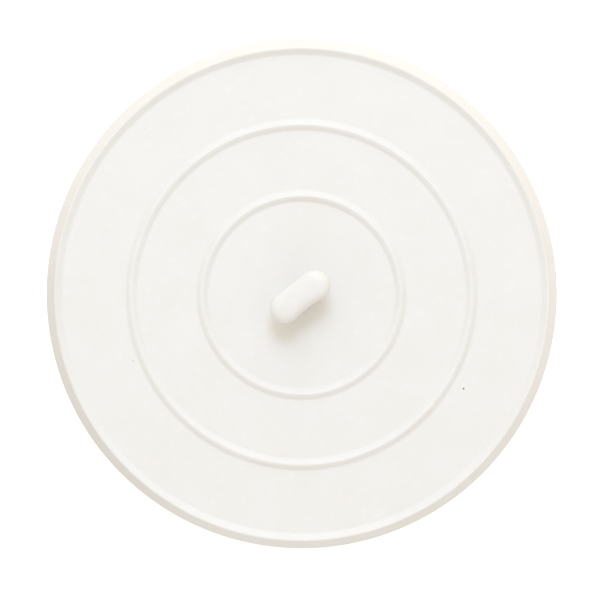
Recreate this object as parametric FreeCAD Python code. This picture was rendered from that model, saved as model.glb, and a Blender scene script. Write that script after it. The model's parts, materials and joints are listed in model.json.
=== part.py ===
import FreeCAD, Part
import math
import os

# Flat sink stopper: a thin rubber disc that lies over a drain, with a finger grip at its centre.
# Millimetres, +Z up. The origin is the centre of the disc's underside, which is the face that
# seals. +X runs along the grip, whose slightly hollow side faces -Y.

# Sealing disc, upper side
DISC_R = 63.5  # 5 in across
WEB_TOP = 2.6
EDGE_H = 1.8  # upright edge below the bevel
BEVEL_W = 2.1  # width of the rim's outer bevel in plan
RIM_TOP = WEB_TOP + 1.1
RIM_CREST_W = 0.35
RIM_SLOPE_W = 1.4  # width of the rim's inner slope in plan
RIB_RADII = (24.7, 42.35)
RIB_W = 2.75  # across the foot of a raised ring
RIB_SHOULDER_W = 1.72  # its flanks are steeper below this width
RIB_SHOULDER = WEB_TOP + 0.46
RIB_TOP = WEB_TOP + 0.9
RIB_CREST_W = 0.35
CREST_ROUND = 0.25

# Sealing disc, underside
RECESS = 0.5
LAND_R = 47.0  # the outer sealing land starts here
SEAL_RIB_W = 2.0
SEAL_SLOPE_W = 0.35  # width in plan of the slopes beside ribs, hub and land
HUB_R = 10.5  # the solid hub round the grip

# Grip's lower half: flange under the disc, shank through it and collar on top of it
FLANGE_R = 7.0
FLANGE_BOTTOM = 0.1  # held just above the sealing plane
FLANGE_TOP = 1.1
FLANGE_GAP = 0.1  # between the flange's edge and its counterbore
SHANK_R = 3.0
COLLAR_L = 12.6
COLLAR_W = 7.2
COLLAR_TOP = WEB_TOP + 1.45
COLLAR_BEVEL = 0.6

# Neck: the thin waist of the moulding, where the grip bends about an axis along X
PIVOT_Z = WEB_TOP + 2.9
NECK_R = 2.3
NECK_L = 11.0
SEAT_R = 2.4  # hollow in the collar, clear of the neck by 0.1

# Head
HEAD_L = 16.75
HEAD_W = 7.75
HEAD_WAIST = 0.5  # how far the -Y side is hollowed at its middle
HEAD_BOTTOM = WEB_TOP + 6.7
HEAD_TOP = WEB_TOP + 12.3
HEAD_TOP_ROUND = 1.8
HEAD_BOTTOM_ROUND = 0.8

Z_AXIS = FreeCAD.Vector(0, 0, 1)
CENTRE = FreeCAD.Vector(0, 0, 0)
TOUCH = 1e-4  # two heights closer than this are the same


def revolved(points):
    """Solid of revolution about Z from a closed outline of (radius, height) points."""
    outline = [FreeCAD.Vector(radius, 0, height) for radius, height in points]
    face = Part.Face(Part.makePolygon(outline + outline[:1]))
    return face.revolve(CENTRE, Z_AXIS, 360)


def raised_ring(radius):
    """Section of one raised ring on the web, from its outer foot in to its inner foot."""
    return [
        (radius + RIB_W / 2, WEB_TOP),
        (radius + RIB_SHOULDER_W / 2, RIB_SHOULDER),
        (radius + RIB_CREST_W / 2, RIB_TOP),
        (radius - RIB_CREST_W / 2, RIB_TOP),
        (radius - RIB_SHOULDER_W / 2, RIB_SHOULDER),
        (radius - RIB_W / 2, WEB_TOP),
    ]


def sealing_rib(radius):
    """Section of one underside rib, from its inner foot down to the sealing plane and out."""
    half = SEAL_RIB_W / 2
    return [
        (radius - half - SEAL_SLOPE_W, RECESS),
        (radius - half, 0),
        (radius + half, 0),
        (radius + half + SEAL_SLOPE_W, RECESS),
    ]


def edges_at(shape, height):
    """Edges of a shape that lie flat at one height."""
    flat = [edge for edge in shape.Edges if edge.BoundBox.ZLength < TOUCH]
    return [edge for edge in flat if abs(edge.BoundBox.ZMin - height) < TOUCH]


def make_sealing_disc():
    """Rubber disc: bevelled rim and two rings above, sealing land and ribs below."""
    bore_r = FLANGE_R + FLANGE_GAP
    outline = [(SHANK_R, FLANGE_TOP), (bore_r, FLANGE_TOP), (bore_r, 0), (HUB_R, 0)]
    outline.append((HUB_R + SEAL_SLOPE_W, RECESS))
    for radius in RIB_RADII:
        outline += sealing_rib(radius)
    outline += [(LAND_R - SEAL_SLOPE_W, RECESS), (LAND_R, 0), (DISC_R, 0), (DISC_R, EDGE_H)]
    crest_out = DISC_R - BEVEL_W
    crest_in = crest_out - RIM_CREST_W
    outline += [(crest_out, RIM_TOP), (crest_in, RIM_TOP), (crest_in - RIM_SLOPE_W, WEB_TOP)]
    for radius in reversed(RIB_RADII):
        outline += raised_ring(radius)
    outline.append((SHANK_R, WEB_TOP))
    disc = revolved(outline)
    crests = edges_at(disc, RIB_TOP) + edges_at(disc, RIM_TOP)
    return disc.makeFillet(CREST_ROUND, crests)


def oblong(length, width, bottom, top):
    """Upright round-ended block, its length along X."""
    radius = width / 2
    reach = length / 2 - radius
    near = [FreeCAD.Vector(-reach, -radius, bottom), FreeCAD.Vector(reach, -radius, bottom)]
    far = [FreeCAD.Vector(reach, radius, bottom), FreeCAD.Vector(-reach, radius, bottom)]
    right_end = FreeCAD.Vector(length / 2, 0, bottom)
    left_end = FreeCAD.Vector(-length / 2, 0, bottom)
    edges = [
        Part.LineSegment(near[0], near[1]).toShape(),
        Part.Arc(near[1], right_end, far[0]).toShape(),
        Part.LineSegment(far[0], far[1]).toShape(),
        Part.Arc(far[1], left_end, near[0]).toShape(),
    ]
    return Part.Face(Part.Wire(edges)).extrude(FreeCAD.Vector(0, 0, top - bottom))


def roller(radius, length):
    """Cylinder along X, centred on the bending axis of the neck."""
    start = FreeCAD.Vector(-length / 2, 0, PIVOT_Z)
    return Part.makeCylinder(radius, length, start, FreeCAD.Vector(1, 0, 0))


def make_grip_stem():
    """Lower half of the grip: flange, shank and collar, with the neck's seat in its top."""
    flange = Part.makeCylinder(FLANGE_R, FLANGE_TOP - FLANGE_BOTTOM, Z_AXIS * FLANGE_BOTTOM)
    shank = Part.makeCylinder(SHANK_R, WEB_TOP - FLANGE_TOP, Z_AXIS * FLANGE_TOP)
    collar = oblong(COLLAR_L, COLLAR_W, WEB_TOP, COLLAR_TOP)
    collar = collar.makeChamfer(COLLAR_BEVEL, edges_at(collar, COLLAR_TOP))
    stem = flange.fuse([shank, collar]).removeSplitter()
    return stem.cut(roller(SEAT_R, COLLAR_L))


def head_outline(height):
    """Round-ended plan of the head, its -Y side hollowed by an arc tangent to both ends."""
    radius = HEAD_W / 2
    reach = HEAD_L / 2 - radius
    hollow_r = (reach**2 + HEAD_WAIST**2) / (2 * HEAD_WAIST) - radius
    lean = math.asin(reach / (hollow_r + radius))
    join_x = reach - radius * math.sin(lean)
    join_y = -radius * math.cos(lean)
    back = [FreeCAD.Vector(reach, radius, height), FreeCAD.Vector(-reach, radius, height)]
    front = [FreeCAD.Vector(-join_x, join_y, height), FreeCAD.Vector(join_x, join_y, height)]
    waist = FreeCAD.Vector(0, HEAD_WAIST - radius, height)
    right_end = FreeCAD.Vector(HEAD_L / 2, 0, height)
    left_end = FreeCAD.Vector(-HEAD_L / 2, 0, height)
    edges = [
        Part.LineSegment(back[0], back[1]).toShape(),
        Part.Arc(back[1], left_end, front[0]).toShape(),
        Part.Arc(front[0], waist, front[1]).toShape(),
        Part.Arc(front[1], right_end, back[0]).toShape(),
    ]
    return Part.Wire(edges)


def make_grip_head():
    """Upper half of the grip: the bean-shaped head and the neck under it."""
    block = Part.Face(head_outline(HEAD_BOTTOM)).extrude(Z_AXIS * (HEAD_TOP - HEAD_BOTTOM))
    rounded = block.makeFillet(HEAD_TOP_ROUND, edges_at(block, HEAD_TOP))
    rounded = rounded.makeFillet(HEAD_BOTTOM_ROUND, edges_at(rounded, HEAD_BOTTOM))
    wall = oblong(NECK_L, 2 * NECK_R, PIVOT_Z, HEAD_BOTTOM + HEAD_BOTTOM_ROUND)
    foot = oblong(NECK_L, 2 * NECK_R, PIVOT_Z - NECK_R, PIVOT_Z)
    foot = foot.common(roller(NECK_R, NECK_L))
    return rounded.fuse([wall, foot]).removeSplitter()


os.makedirs("parts", exist_ok=True)
NODES = {
    "sealing_disc": make_sealing_disc(),
    "grip_stem": make_grip_stem(),
    "grip_head": make_grip_head(),
}
for name, shape in NODES.items():
    solid = shape.Solids[0]
    solid.exportStep(f"parts/{name}.step")
    box = solid.BoundBox
    print(name, len(shape.Solids), solid.isValid(), round(solid.Volume, 1), box)
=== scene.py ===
import json
import math

import bpy
import numpy as np
from mathutils import Matrix, Vector


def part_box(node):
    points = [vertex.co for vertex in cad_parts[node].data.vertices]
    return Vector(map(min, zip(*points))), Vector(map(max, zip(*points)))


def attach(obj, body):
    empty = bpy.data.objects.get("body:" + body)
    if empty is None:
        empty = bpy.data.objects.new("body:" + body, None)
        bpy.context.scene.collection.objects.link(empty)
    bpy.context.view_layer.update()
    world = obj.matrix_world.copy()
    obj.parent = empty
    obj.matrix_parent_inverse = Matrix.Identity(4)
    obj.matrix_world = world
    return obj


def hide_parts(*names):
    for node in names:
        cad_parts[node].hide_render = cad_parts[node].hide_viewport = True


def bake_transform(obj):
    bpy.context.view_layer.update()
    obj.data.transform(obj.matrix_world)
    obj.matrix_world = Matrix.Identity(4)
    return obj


# Flat rubber sink stopper on a white studio floor: the moulded disc, and the finger grip that is
# pushed through it. Metres, in the CAD frame: +Z up, the origin under the disc's centre, +X along
# the grip, whose slightly hollow side faces -Y.

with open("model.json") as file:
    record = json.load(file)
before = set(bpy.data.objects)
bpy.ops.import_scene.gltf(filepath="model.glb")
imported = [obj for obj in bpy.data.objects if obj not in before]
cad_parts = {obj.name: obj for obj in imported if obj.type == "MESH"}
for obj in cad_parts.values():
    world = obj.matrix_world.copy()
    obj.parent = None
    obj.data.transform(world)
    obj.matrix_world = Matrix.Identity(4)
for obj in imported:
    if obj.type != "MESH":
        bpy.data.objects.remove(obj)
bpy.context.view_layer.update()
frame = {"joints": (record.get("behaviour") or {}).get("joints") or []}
MM = 0.001

# ---------------------------------------------------------------- sizes from the CAD frame

DISC_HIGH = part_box("sealing_disc")[1]
STEM_LOW, STEM_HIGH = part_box("grip_stem")
HEAD_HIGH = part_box("grip_head")[1]

DISC_R = DISC_HIGH.x
RIM_TOP = DISC_HIGH.z
WEB_TOP = RIM_TOP - 1.1 * MM
RIB_TOP = WEB_TOP + 0.9 * MM
EDGE_TOP = RIM_TOP - 1.9 * MM
RIB_RADII = (24.7 * MM, 42.35 * MM)
RECESS = 0.5 * MM
LAND_R = 47.0 * MM
HUB_R = 10.5 * MM

FLANGE_R = STEM_HIGH.x
FLANGE_LOW = STEM_LOW.z
FLANGE_TOP = FLANGE_LOW + 1.0 * MM
SHANK_R = 3.0 * MM
COLLAR_HALF = Vector((6.3, 3.6)) * MM
COLLAR_TOP = STEM_HIGH.z
NECK_HALF = Vector((5.5, 2.3)) * MM
HEAD_HALF = Vector((HEAD_HIGH.x, HEAD_HIGH.y))
HEAD_BOTTOM = WEB_TOP + 6.7 * MM
HEAD_TOP = HEAD_HIGH.z - 0.2 * MM
HEAD_WAIST = 0.55 * MM
PIVOT_Z = frame["joints"][0]["pos_m"][2]

# ---------------------------------------------------------------- mesh helpers

ROUND_STEPS = 6
GUARD = 0.12 * MM  # a loop this close to each round keeps the flat beside it flat when shaded
SHORTEST_RUN = 4 * GUARD  # a straight run needs no more points unless it is longer than this
LONGEST_STEP = 1.6 * MM
TURN_STEPS = 288  # round the disc
GRIP_STEPS = 192  # round the grip


def softened(corners, closed):
    """Points along an outline with rounded corners.

    A corner is a place, in any number of dimensions, and how far from it the rounding starts."""
    places = [np.array(place, float) for place, _ in corners]
    count = len(places)
    points = []
    for i, (place, (_, cut)) in enumerate(zip(places, corners)):
        if cut == 0:
            points.append(place)
            continue
        back = places[i - 1] - place
        ahead = places[(i + 1) % count] - place
        start = place + back * cut / np.linalg.norm(back)
        end = place + ahead * cut / np.linalg.norm(ahead)
        for t in np.linspace(0, 1, ROUND_STEPS + 1):
            points.append((1 - t) ** 2 * start + 2 * t * (1 - t) * place + t**2 * end)
    return filled(points, closed)


def filled(points, closed):
    """The same points, with more on each long straight run and one near each of its ends."""
    result = []
    last = len(points) if closed else len(points) - 1
    for i in range(last):
        here = points[i]
        step = points[(i + 1) % len(points)] - here
        length = np.linalg.norm(step)
        result.append(here)
        if length > SHORTEST_RUN:
            pieces = max(1, math.ceil(length / LONGEST_STEP))
            inner = [k / pieces for k in range(1, pieces)]
            shares = [GUARD / length, *inner, 1 - GUARD / length]
            result += [here + step * share for share in shares]
    if not closed:
        result.append(points[-1])
    return result


def strip(first, second, steps):
    """Quads between two loops of vertices, given by the number of each loop's first vertex."""
    faces = []
    for i in range(steps):
        j = (i + 1) % steps
        faces.append((first + i, first + j, second + j, second + i))
    return faces


def new_mesh(name, vertices, faces):
    """Smooth-shaded object from vertices and faces."""
    mesh = bpy.data.meshes.new(name)
    mesh.from_pydata([tuple(v) for v in vertices], [], faces)
    mesh.validate()
    mesh.shade_smooth()
    made = bpy.data.objects.new(name, mesh)
    bpy.context.scene.collection.objects.link(made)
    return made


def remember_place(piece, places):
    """Stores where each vertex was moulded, for the piece's material to read."""
    attribute = piece.data.attributes.new("place", "FLOAT_VECTOR", "POINT")
    attribute.data.foreach_set("vector", np.asarray(places, np.float32).ravel())


# ---------------------------------------------------------------- the disc

# Upper side
RIB_HALF_FOOT = 1.38 * MM
RIB_HALF_SHOULDER = 0.86 * MM
RIB_HALF_CREST = 0.15 * MM
SHOULDER_TOP = WEB_TOP + 0.46 * MM
BEVEL_W = 2.1 * MM
RIM_CREST_W = 0.35 * MM
RIM_SLOPE_W = 1.4 * MM

# Underside
SEAL_HALF = 1.0 * MM
SEAL_SLOPE = 0.35 * MM
BORE_R = FLANGE_R + 0.1 * MM

# How far from each corner its rounding starts
FOOT_ROUND = 0.33 * MM
SHOULDER_ROUND = 0.3 * MM
CREST_ROUND = 0.14 * MM
EDGE_ROUND = 0.2 * MM
SMALL_ROUND = 0.1 * MM

# The fine ridge where the two halves of a mould met, round the disc's edge and the grip's head
PARTING_Z = 0.45 * MM  # on the disc
PARTING_OUT = 0.03 * MM
PARTING_HALF = 0.08 * MM
PARTING_ROUND = PARTING_OUT / 2


def rib_corners(radius):
    """One raised ring on the upper side, from its inner foot to its outer foot."""
    return [
        ((radius - RIB_HALF_FOOT, WEB_TOP), FOOT_ROUND),
        ((radius - RIB_HALF_SHOULDER, SHOULDER_TOP), SHOULDER_ROUND),
        ((radius - RIB_HALF_CREST, RIB_TOP), CREST_ROUND),
        ((radius + RIB_HALF_CREST, RIB_TOP), CREST_ROUND),
        ((radius + RIB_HALF_SHOULDER, SHOULDER_TOP), SHOULDER_ROUND),
        ((radius + RIB_HALF_FOOT, WEB_TOP), FOOT_ROUND),
    ]


def seal_corners(radius):
    """One sealing rib on the underside, from its outer foot to its inner foot."""
    return [
        ((radius + SEAL_HALF + SEAL_SLOPE, RECESS), SMALL_ROUND),
        ((radius + SEAL_HALF, 0), SMALL_ROUND),
        ((radius - SEAL_HALF, 0), SMALL_ROUND),
        ((radius - SEAL_HALF - SEAL_SLOPE, RECESS), SMALL_ROUND),
    ]


def rim_corners():
    """The rim, from the foot of its inner slope out over the crest and down to the land."""
    crest_out = DISC_R - BEVEL_W
    crest_in = crest_out - RIM_CREST_W
    return [
        ((crest_in - RIM_SLOPE_W, WEB_TOP), FOOT_ROUND),
        ((crest_in, RIM_TOP), CREST_ROUND),
        ((crest_out, RIM_TOP), CREST_ROUND),
        ((DISC_R, EDGE_TOP), EDGE_ROUND),
        ((DISC_R, PARTING_Z + PARTING_HALF), PARTING_ROUND),
        ((DISC_R + PARTING_OUT, PARTING_Z), PARTING_ROUND),
        ((DISC_R, PARTING_Z - PARTING_HALF), PARTING_ROUND),
        ((DISC_R, 0), EDGE_ROUND),
        ((LAND_R, 0), SMALL_ROUND),
        ((LAND_R - SEAL_SLOPE, RECESS), SMALL_ROUND),
    ]


def hub_corners():
    """The hub on the underside, with the counterbore that the grip's flange lies in."""
    return [
        ((HUB_R + SEAL_SLOPE, RECESS), SMALL_ROUND),
        ((HUB_R, 0), SMALL_ROUND),
        ((BORE_R, 0), SMALL_ROUND),
        ((BORE_R, FLANGE_TOP), SMALL_ROUND),
        ((SHANK_R, FLANGE_TOP), SMALL_ROUND),
    ]


def disc_section():
    """Closed section of the disc as (radius, height) points: out over the top, back below."""
    corners = [((SHANK_R, WEB_TOP), SMALL_ROUND)]
    for radius in RIB_RADII:
        corners += rib_corners(radius)
    corners += rim_corners()
    for radius in reversed(RIB_RADII):
        corners += seal_corners(radius)
    return softened(corners + hub_corners(), closed=True)


def make_disc():
    """The rubber disc, revolved from its section."""
    section = disc_section()
    vertices = []
    for radius, height in section:
        for i in range(TURN_STEPS):
            angle = 2 * math.pi * i / TURN_STEPS
            vertices.append((radius * math.cos(angle), radius * math.sin(angle), height))
    faces = []
    for j in range(len(section)):
        after = (j + 1) % len(section)
        faces += strip(after * TURN_STEPS, j * TURN_STEPS, TURN_STEPS)
    disc = new_mesh("sealing_disc_rubber", vertices, faces)
    remember_place(disc, vertices)
    return disc


# ---------------------------------------------------------------- the grip

# Flange, with the shallow pit under it where the rubber was let into the mould
GATE_R = 1.6 * MM
GATE_TOP = FLANGE_LOW + 0.2 * MM
GATE_SLOPE = 0.2 * MM
GATE_NUB_R = 0.5 * MM
GATE_NUB_LOW = FLANGE_LOW + 0.06 * MM
FLANGE_ROUND = 0.2 * MM

# Collar and neck
COLLAR_FOOT_ROUND = 0.15 * MM
COLLAR_EDGE = WEB_TOP + 0.7 * MM
COLLAR_TAPER = 0.1 * MM
COLLAR_ROUND = 0.4 * MM
NECK_FLARE = 0.15 * MM  # at the collar's top
NECK_FOOT_ROUND = 0.75 * MM
NECK_ROUND = 0.6 * MM
NECK_TOP_ROUND = 0.5 * MM

# Head
HEAD_SEAM = HEAD_BOTTOM + 2.2 * MM
HEAD_FOOT_ROUND = 0.9 * MM
HEAD_ROUND_W = 2.2 * MM  # how far the top's rounding reaches in from the outline
HEAD_ROUND_H = 1.7 * MM
HEAD_SIDE_ROUND = 0.8 * MM
BROW_IN = HEAD_ROUND_W * 0.45  # the corner halfway over the top's rounding
BROW_TOP = HEAD_TOP - HEAD_ROUND_H * 0.28
BROW_ROUND = 0.7 * MM
CROWN = 0.12 * MM
CROWN_ROUND = 0.6 * MM
CROWN_WAIST = HEAD_WAIST * 0.6

CORE_HALF = 0.02 * MM  # half width of the narrow outline that closes the skin at each end
WAIST_STOP = 0.3  # the hollow side ends this share of the half width short of the tips

# The grip stands a little crooked on the disc
LEAN = Vector((-0.15, 0.45)) * MM  # at the head's top
TILT = 0.08  # rise of the head along +X


def oblong(half_length, half_width, waist):
    """Round-ended outline, evenly stepped, its -Y side hollowed by waist at the middle."""
    reach = half_length - half_width
    bend = half_width * math.pi / 2
    quarter = reach + bend
    waist_end = half_length - WAIST_STOP * half_width
    points = []
    for i in range(GRIP_STEPS):
        walk = 4 * quarter * i / GRIP_STEPS
        turn = int(walk // quarter)
        along = walk - turn * quarter
        if turn % 2:
            along = quarter - along
        if along < bend:
            angle = along / half_width
            x = reach + half_width * math.cos(angle)
            y = half_width * math.sin(angle)
        else:
            x = quarter - along
            y = half_width
        x = x if turn in (0, 3) else -x
        y = y if turn < 2 else -y
        if y < 0:
            y += waist * (0.5 + 0.5 * math.cos(math.pi * min(1, abs(x) / waist_end)))
        points.append((x, y))
    return points


def ring(half, inset, height, waist=0.0):
    """One station of the grip: an outline drawn in by inset, at a height."""
    return (half[0] - inset, half[1] - inset, waist, height)


def flange_corners():
    """Stations of the flange and shank, from the middle of the gate's pit to the disc's top."""
    flange = Vector((FLANGE_R, FLANGE_R))
    shank = Vector((SHANK_R, SHANK_R))
    nub_in = FLANGE_R - GATE_NUB_R
    pit_in = FLANGE_R - GATE_R
    return [
        (ring(flange, FLANGE_R - CORE_HALF, GATE_NUB_LOW), 0),
        (ring(flange, nub_in, GATE_NUB_LOW), SMALL_ROUND / 2),
        (ring(flange, nub_in - SMALL_ROUND, GATE_TOP), SMALL_ROUND / 2),
        (ring(flange, pit_in + GATE_SLOPE, GATE_TOP), SMALL_ROUND),
        (ring(flange, pit_in, FLANGE_LOW), SMALL_ROUND),
        (ring(flange, 0, FLANGE_LOW), FLANGE_ROUND),
        (ring(flange, 0, FLANGE_TOP), FLANGE_ROUND),
        (ring(shank, 0, FLANGE_TOP), SMALL_ROUND),
        (ring(shank, 0, WEB_TOP), SMALL_ROUND),
    ]


def neck_corners():
    """Stations of the collar and neck, from the disc's top to the head's underside."""
    return [
        (ring(COLLAR_HALF, 0, WEB_TOP), COLLAR_FOOT_ROUND),
        (ring(COLLAR_HALF, COLLAR_TAPER, COLLAR_EDGE), COLLAR_ROUND),
        (ring(NECK_HALF, -NECK_FLARE, COLLAR_TOP), NECK_FOOT_ROUND),
        (ring(NECK_HALF, 0, PIVOT_Z), NECK_ROUND),
        (ring(NECK_HALF, 0, HEAD_BOTTOM), NECK_TOP_ROUND),
    ]


def head_corners():
    """Stations of the head, from its underside over the parting ridge to the middle of its top."""
    return [
        (ring(HEAD_HALF, 0, HEAD_BOTTOM, HEAD_WAIST), HEAD_FOOT_ROUND),
        (ring(HEAD_HALF, 0, HEAD_SEAM - PARTING_HALF, HEAD_WAIST), PARTING_ROUND),
        (ring(HEAD_HALF, -PARTING_OUT, HEAD_SEAM, HEAD_WAIST), PARTING_ROUND),
        (ring(HEAD_HALF, 0, HEAD_SEAM + PARTING_HALF, HEAD_WAIST), PARTING_ROUND),
        (ring(HEAD_HALF, 0, HEAD_TOP - HEAD_ROUND_H, HEAD_WAIST), HEAD_SIDE_ROUND),
        (ring(HEAD_HALF, BROW_IN, BROW_TOP, HEAD_WAIST), BROW_ROUND),
        (ring(HEAD_HALF, HEAD_ROUND_W, HEAD_TOP - CROWN, CROWN_WAIST), CROWN_ROUND),
        (ring(HEAD_HALF, HEAD_HALF.y - CORE_HALF, HEAD_TOP), 0),
    ]


def crooked(x, y, height):
    """Where a place on the upright grip really is, with the grip's lean and tilt."""
    leant = LEAN * max(0.0, (height - WEB_TOP) / (HEAD_TOP - WEB_TOP))
    tilted = TILT * min(1.0, max(0.0, (height - WEB_TOP) / (HEAD_BOTTOM - WEB_TOP)))
    return (x + leant.x, y + leant.y, height + tilted * x)


def make_grip():
    """The grip as one skin: flange, shank, collar, neck and bean-shaped head."""
    stations = softened(flange_corners() + neck_corners() + head_corners(), closed=False)
    vertices = []
    for half_length, half_width, waist, height in stations:
        vertices += [crooked(x, y, height) for x, y in oblong(half_length, half_width, waist)]
    faces = []
    for j in range(len(stations) - 1):
        faces += strip(j * GRIP_STEPS, (j + 1) * GRIP_STEPS, GRIP_STEPS)
    last = (len(stations) - 1) * GRIP_STEPS
    faces.append(tuple(reversed(range(GRIP_STEPS))))
    faces.append(tuple(range(last, last + GRIP_STEPS)))
    grip = new_mesh("finger_grip_rubber", vertices, faces)
    remember_place(grip, vertices)
    return grip


# ---------------------------------------------------------------- shader helpers

# Every size, spacing, depth and place in a material is in millimetres.

NOISE_ROUGHNESS = 0.55
NOISE_MIDDLE = (0.3, 0.7)  # where most of a noise's values lie
NOISE_UPPER = (0.35, 0.7)  # the same without the lowest of them
FULL = (0, 1)  # the whole range of a share


def add(tree, kind, inputs, **settings):
    """New shader node. An input is a value, or another node's output to link."""
    made = tree.nodes.new(kind)
    for name, value in settings.items():
        setattr(made, name, value)
    for key, value in inputs.items():
        if isinstance(value, bpy.types.NodeSocket):
            tree.links.new(value, made.inputs[key])
        else:
            made.inputs[key].default_value = value
    return made


def noise(tree, place, size, detail):
    """Even noise from 0 to 1 whose lumps are about size across."""
    inputs = {"Vector": place, "Scale": 1 / size, "Detail": detail, "Roughness": NOISE_ROUGHNESS}
    return add(tree, "ShaderNodeTexNoise", inputs).outputs["Fac"]


def spread(tree, value, source, target):
    """Maps a value's range on to another range, and holds it there."""
    inputs = {"Value": value, "From Min": source[0], "From Max": source[1]}
    inputs |= {"To Min": target[0], "To Max": target[1]}
    return add(tree, "ShaderNodeMapRange", inputs).outputs["Result"]


def times(tree, first, second):
    """Product of two values."""
    return add(tree, "ShaderNodeMath", {0: first, 1: second}, operation="MULTIPLY").outputs[0]


def minus(tree, first, second):
    """Difference of two values."""
    return add(tree, "ShaderNodeMath", {0: first, 1: second}, operation="SUBTRACT").outputs[0]


def larger(tree, first, second):
    """The larger of two values."""
    return add(tree, "ShaderNodeMath", {0: first, 1: second}, operation="MAXIMUM").outputs[0]


def tinted(tree, share, base, tint):
    """A colour mixed towards a tint by a share from 0 to 1."""
    made = add(tree, "ShaderNodeMix", {"Factor": share}, data_type="RGBA")
    for name, colour in (("A", base), ("B", tint)):
        socket = next(s for s in made.inputs if s.name == name and s.type == "RGBA")
        if isinstance(colour, bpy.types.NodeSocket):
            tree.links.new(colour, socket)
        else:
            socket.default_value = (*colour, 1)
    return next(s for s in made.outputs if s.type == "RGBA")


def raised(tree, height, depth, normal=None):
    """Surface relief: depth is how far the height's range stands up."""
    inputs = {"Height": height, "Distance": depth * MM, "Strength": 1.0}
    if normal is not None:
        inputs["Normal"] = normal
    return add(tree, "ShaderNodeBump", inputs).outputs["Normal"]


def specks(tree, place, spacing, size, share):
    """Scattered specks, some fainter than others, on a share of the cells of a random grid."""
    inputs = {"Vector": place, "Scale": 1 / spacing}
    cells = add(tree, "ShaderNodeTexVoronoi", inputs)
    pick = add(tree, "ShaderNodeSeparateColor", {"Color": cells.outputs["Color"]})
    chosen = spread(tree, pick.outputs["Red"], (1 - share, 1 - share + 0.001), FULL)
    reach = size / spacing
    spot = spread(tree, cells.outputs["Distance"], (reach * 0.4, reach), (1, 0))
    strength = spread(tree, pick.outputs["Green"], FULL, (0.3, 1))
    return times(tree, times(tree, chosen, spot), strength)


def bands(tree, value, centres, reach):
    """1 where a value is at any of the centres, fading to 0 at reach from it."""
    total = None
    for centre in centres:
        offset = minus(tree, value, centre)
        away = add(tree, "ShaderNodeMath", {0: offset}, operation="ABSOLUTE").outputs[0]
        line = spread(tree, away, (0, reach), (1, 0))
        total = line if total is None else larger(tree, total, line)
    return total


def in_millimetres(tree):
    """Place on the piece as it was moulded, so that the texture keeps still as the grip bends."""
    place = add(tree, "ShaderNodeAttribute", {}, attribute_name="place").outputs["Vector"]
    inputs = {0: place, "Scale": 1 / MM}
    return add(tree, "ShaderNodeVectorMath", inputs, operation="SCALE").outputs["Vector"]


def from_middle(tree, place):
    """Distance from the disc's axis."""
    flat = add(tree, "ShaderNodeVectorMath", {0: place, 1: (1, 1, 0)}, operation="MULTIPLY")
    inputs = {0: flat.outputs["Vector"]}
    return add(tree, "ShaderNodeVectorMath", inputs, operation="LENGTH").outputs["Value"]


def new_material(name):
    """Empty node material: its tree and its surface shader."""
    material = bpy.data.materials.new(name)
    material.use_nodes = True
    return material, material.node_tree, material.node_tree.nodes["Principled BSDF"]


# ---------------------------------------------------------------- the disc's rubber

DISC_WHITE = (0.769, 0.769, 0.749)
DISC_CREAM = (0.754, 0.748, 0.719)
CHALK = (0.83, 0.827, 0.81)
# Dark tint for the real specks, and for the painted shade in the creases, on one side of the rim
# and under the grip's head
GRIME_AND_SHADE = (0.50, 0.47, 0.41)
SOOT = (0.09, 0.085, 0.08)

LATHE_RINGS = 2.6  # in each millimetre
POLISH = 0.1  # how much smoother the crests are rubbed

# Painted shade: the rim is a little darker on one side
SHADED_RIM_TURN = 165  # degrees round from +X
SHADED_RIM_REACH = (40, 62)  # the painted shade grows between these distances towards that side
SHADED_RIM_CREST = (60.8, 61.6)  # and between these radii
SHADED_RIM_SHARE = 0.25

# Blemishes on the upper side: the distance from the middle, degrees round from +X, the radius of
# the mark, and how dark it is.
BLEMISHES = (
    (46.6, -67.3, 0.28, 1.0),
    (61.7, 150, 0.2, 0.5),
    (45.0, 164, 0.25, 0.3),
    (62.9, 139, 0.3, 0.35),
    (39.6, 83, 0.18, 0.25),
    (56.8, 96, 0.18, 0.25),
    (61.0, 87, 0.25, 0.3),
    (47.8, 32, 0.3, 0.1),
)


def blemishes(tree, place):
    """Mask of the few marks that use has left."""
    total = None
    for distance, turn, size, darkness in BLEMISHES:
        angle = math.radians(turn)
        spot = (distance * math.cos(angle), distance * math.sin(angle), WEB_TOP / MM)
        away = add(tree, "ShaderNodeVectorMath", {0: place, 1: spot}, operation="DISTANCE")
        dot = spread(tree, away.outputs["Value"], (size * 0.5, size), (darkness, 0))
        total = dot if total is None else larger(tree, total, dot)
    return total


def lathe_marks(tree, radius):
    """Very fine rings that the mould's turned face left."""
    inputs = {"W": radius, "Scale": LATHE_RINGS, "Detail": 3}
    return add(tree, "ShaderNodeTexNoise", inputs, noise_dimensions="1D").outputs["Fac"]


def rim_side_shade(tree, place, radius):
    """Share of painted shade on one side of the rim."""
    angle = math.radians(SHADED_RIM_TURN)
    toward = (math.cos(angle), math.sin(angle), 0)
    along = add(tree, "ShaderNodeVectorMath", {0: place, 1: toward}, operation="DOT_PRODUCT")
    side = spread(tree, along.outputs["Value"], SHADED_RIM_REACH, (0, SHADED_RIM_SHARE))
    return times(tree, side, spread(tree, radius, SHADED_RIM_CREST, FULL))


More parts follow.
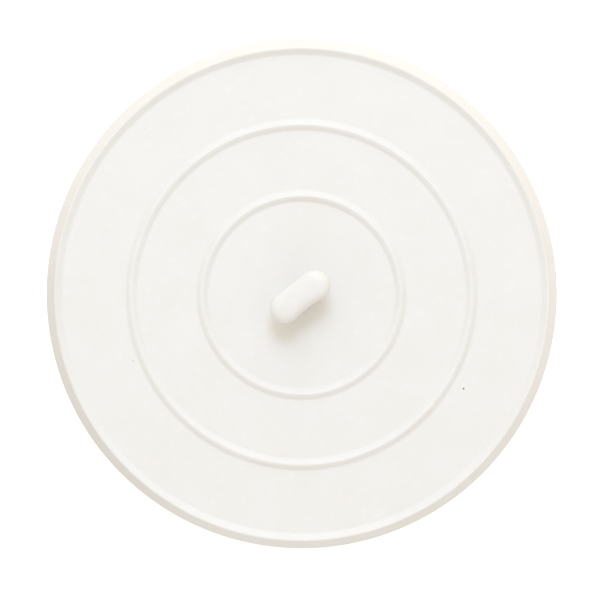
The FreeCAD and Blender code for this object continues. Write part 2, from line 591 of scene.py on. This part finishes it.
def disc_rubber():
    """Matt white rubber: mould grain and lathe marks, faint mottling, painted shade in the creases
    and on one side of the rim.
    """
    material, tree, surface = new_material("disc_rubber")
    place = in_millimetres(tree)
    radius = from_middle(tree, place)
    mottle = noise(tree, place, size=11, detail=4)
    bloom = noise(tree, place, size=2.2, detail=5)
    grain = noise(tree, place, size=0.22, detail=2)

    feet = [(r + side * RIB_HALF_FOOT) / MM for r in RIB_RADII for side in (-1, 1)]
    feet.append((DISC_R - BEVEL_W - RIM_CREST_W - RIM_SLOPE_W) / MM)
    # Painted shade: the creases at the feet of the rings and the rim are darkened, unevenly
    creases = bands(tree, radius, feet, reach=0.7)
    crease_shade = times(tree, creases, spread(tree, bloom, NOISE_MIDDLE, (0, 0.05)))
    colour = tinted(tree, spread(tree, mottle, NOISE_UPPER, (0, 0.8)), DISC_WHITE, DISC_CREAM)
    colour = tinted(tree, spread(tree, bloom, (0.55, 0.75), (0, 0.35)), colour, CHALK)
    colour = tinted(tree, crease_shade, colour, GRIME_AND_SHADE)
    # Painted shade: one side of the rim is darkened
    colour = tinted(tree, rim_side_shade(tree, place, radius), colour, GRIME_AND_SHADE)
    colour = tinted(tree, specks(tree, place, spacing=7, size=0.22, share=0.25), colour, GRIME_AND_SHADE)
    colour = tinted(tree, blemishes(tree, place), colour, SOOT)
    tree.links.new(colour, surface.inputs["Base Color"])

    crests = [r / MM for r in RIB_RADII] + [(DISC_R - BEVEL_W) / MM]
    rough = spread(tree, bloom, NOISE_MIDDLE, (0.55, 0.66))
    rough = minus(tree, rough, times(tree, bands(tree, radius, crests, reach=0.6), POLISH))
    tree.links.new(rough, surface.inputs["Roughness"])
    surface.inputs["Specular IOR Level"].default_value = 0.4

    relief = raised(tree, mottle, depth=0.03)
    relief = raised(tree, lathe_marks(tree, radius), depth=0.003, normal=relief)
    relief = raised(tree, grain, depth=0.006, normal=relief)
    tree.links.new(relief, surface.inputs["Normal"])
    return material


# ---------------------------------------------------------------- the grip's rubber

GRIP_WHITE = (0.775, 0.773, 0.757)
GRIP_GREY = (0.75, 0.745, 0.727)
NECK_SHADE_HEIGHTS = (COLLAR_TOP / MM - 0.6, HEAD_BOTTOM / MM)  # painted shade under the head; it fades out between these heights


def grip_rubber():
    """Whiter, smoother rubber with a satin skin, the faint flow of the mould, and painted shade on
    the neck under the head.
    """
    material, tree, surface = new_material("grip_rubber")
    place = in_millimetres(tree)
    cloud = noise(tree, place, size=3.5, detail=4)
    skin = noise(tree, place, size=0.8, detail=4)
    grain = noise(tree, place, size=0.18, detail=2)

    height = add(tree, "ShaderNodeSeparateXYZ", {"Vector": place}).outputs["Z"]
    under_head_shade = spread(tree, height, NECK_SHADE_HEIGHTS, (1, 0))
    uneven = spread(tree, skin, NOISE_MIDDLE, (0.04, 0.2))
    colour = tinted(tree, spread(tree, cloud, NOISE_UPPER, (0, 0.9)), GRIP_WHITE, GRIP_GREY)
    # Painted shade: the neck and collar are darker towards the bottom, under the head
    colour = tinted(tree, times(tree, under_head_shade, uneven), colour, GRIME_AND_SHADE)
    colour = tinted(tree, specks(tree, place, spacing=3.5, size=0.16, share=0.2), colour, GRIME_AND_SHADE)
    tree.links.new(colour, surface.inputs["Base Color"])

    rough = spread(tree, skin, NOISE_MIDDLE, (0.4, 0.52))
    tree.links.new(rough, surface.inputs["Roughness"])
    surface.inputs["Specular IOR Level"].default_value = 0.45

    relief = raised(tree, cloud, depth=0.03)
    relief = raised(tree, skin, depth=0.004, normal=relief)
    relief = raised(tree, grain, depth=0.003, normal=relief)
    tree.links.new(relief, surface.inputs["Normal"])
    return material


# ---------------------------------------------------------------- studio

# The camera and the lights are placed by their direction in the picture, and the grip runs this
# many degrees above the picture's horizontal.
PICTURE_TURN = 37.3

# Each softbox: its direction in the picture and its angle above the floor, in degrees, its
# distance and its size, in metres, its power in watts, and its tint.
SOFTBOXES = {
    "key": (88, 38, 2.0, 1.6, 10.7, (0.77, 0.83, 1.0)),
    "fill_low": (262, 22, 1.0, 0.5, 0.88, (0.4, 0.61, 1.0)),
    "fill_high": (88, 60, 1.0, 0.3, 3.1, (0.6, 0.78, 1.0)),
}

# The light from all round
SKY = (0.908, 0.825, 0.72)
GROUND_BEYOND = (1.9, 1.55, 0.95)
GROUND_BEFORE = (0.9, 0.85, 0.78)
GROUND_BENEATH = (0.8, 0.78, 0.75)
GROUND_TURN = 75  # the picture's direction in which the ground is brightest
BEYOND_SIDE = (0.05, 0.4)  # how far towards that direction the ground turns brighter
BENEATH_HEIGHT = (-0.5, -0.3)
HORIZON = (-0.05, 0.05)

FLOOR_HALF = 4.0
FLOOR_WHITE = (0.95, 0.95, 0.95, 1)
FLOOR_GLOW = 0.35

CAMERA_DISTANCE = 0.9
CAMERA_AZIMUTH = 82  # the camera stands a little above straight overhead in the picture
CAMERA_ELEVATION = 86.1
PICTURE_WIDTH = 149.6 * MM  # across the picture, at the disc
OFF_CENTRE = (0.40 * MM, 1.37 * MM)  # the object's place in the picture, right and up


def picture_direction(azimuth, elevation):
    """Unit vector towards a place given by its angle in the picture and above the floor."""
    turn = math.radians(azimuth - PICTURE_TURN)
    rise = math.radians(elevation)
    flat = math.cos(rise)
    return Vector((flat * math.cos(turn), flat * math.sin(turn), math.sin(rise)))


def add_softbox(name, azimuth, elevation, distance, size, power, tint):
    """Square area light that faces the object."""
    light = bpy.data.lights.new(name, "AREA")
    light.size = size
    light.energy = power
    light.color = tint
    lamp = bpy.data.objects.new(name, light)
    towards = picture_direction(azimuth, elevation)
    lamp.location = towards * distance
    lamp.rotation_mode = "QUATERNION"
    lamp.rotation_quaternion = towards.to_track_quat("Z", "Y")
    lamp.visible_camera = False
    bpy.context.scene.collection.objects.link(lamp)


def add_world():
    """Soft light from all round: sky, the ground beyond and before the disc, and beneath it."""
    world = bpy.data.worlds.new("studio")
    bpy.context.scene.world = world
    world.use_nodes = True
    tree = world.node_tree
    way = add(tree, "ShaderNodeTexCoord", {}).outputs["Generated"]
    height = add(tree, "ShaderNodeSeparateXYZ", {"Vector": way}).outputs["Z"]
    inputs = {0: way, 1: picture_direction(GROUND_TURN, 0)}
    side = add(tree, "ShaderNodeVectorMath", inputs, operation="DOT_PRODUCT").outputs["Value"]
    colour = tinted(tree, spread(tree, side, BEYOND_SIDE, FULL), GROUND_BEFORE, GROUND_BEYOND)
    colour = tinted(tree, spread(tree, height, BENEATH_HEIGHT, FULL), GROUND_BENEATH, colour)
    colour = tinted(tree, spread(tree, height, HORIZON, FULL), colour, SKY)
    tree.links.new(colour, tree.nodes["Background"].inputs["Color"])


def add_floor():
    """Plain white floor, lit a little from within so that it holds no shadow."""
    corners = [(-FLOOR_HALF, -FLOOR_HALF, 0), (FLOOR_HALF, -FLOOR_HALF, 0)]
    corners += [(FLOOR_HALF, FLOOR_HALF, 0), (-FLOOR_HALF, FLOOR_HALF, 0)]
    floor = new_mesh("studio_floor", corners, [(0, 1, 2, 3)])
    material, _, surface = new_material("floor_white")
    surface.inputs["Base Color"].default_value = FLOOR_WHITE
    surface.inputs["Roughness"].default_value = 1.0
    surface.inputs["Specular IOR Level"].default_value = 0.0
    surface.inputs["Emission Color"].default_value = (1, 1, 1, 1)
    surface.inputs["Emission Strength"].default_value = FLOOR_GLOW
    floor.data.materials.append(material)
    floor.visible_diffuse = False  # the object isn't lit by it, only by the lamps and the world
    floor.visible_glossy = False


def add_camera():
    """Camera above the object, rolled by the picture's turn."""
    data = bpy.data.cameras.new("camera")
    data.lens = data.sensor_width * CAMERA_DISTANCE / PICTURE_WIDTH
    data.clip_start = 0.05
    data.clip_end = 20
    camera = bpy.data.objects.new("camera", data)
    back = picture_direction(CAMERA_AZIMUTH, CAMERA_ELEVATION)
    up = picture_direction(90, 0)
    right = up.cross(back).normalized()
    up = back.cross(right)
    camera.rotation_mode = "QUATERNION"
    camera.rotation_quaternion = Matrix((right, up, back)).transposed().to_quaternion()
    camera.location = back * CAMERA_DISTANCE - right * OFF_CENTRE[0] - up * OFF_CENTRE[1]
    bpy.context.scene.collection.objects.link(camera)
    bpy.context.scene.camera = camera


# ---------------------------------------------------------------- scene

bpy.context.scene.view_settings.view_transform = "Standard"

disc = make_disc()
disc.data.materials.append(disc_rubber())
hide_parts("sealing_disc")
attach(disc, "disc")

grip = make_grip()
grip.data.materials.append(grip_rubber())
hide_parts("grip_stem", "grip_head")
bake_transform(grip)

add_floor()
add_world()
for name, softbox in SOFTBOXES.items():
    add_softbox(name, *softbox)
add_camera()
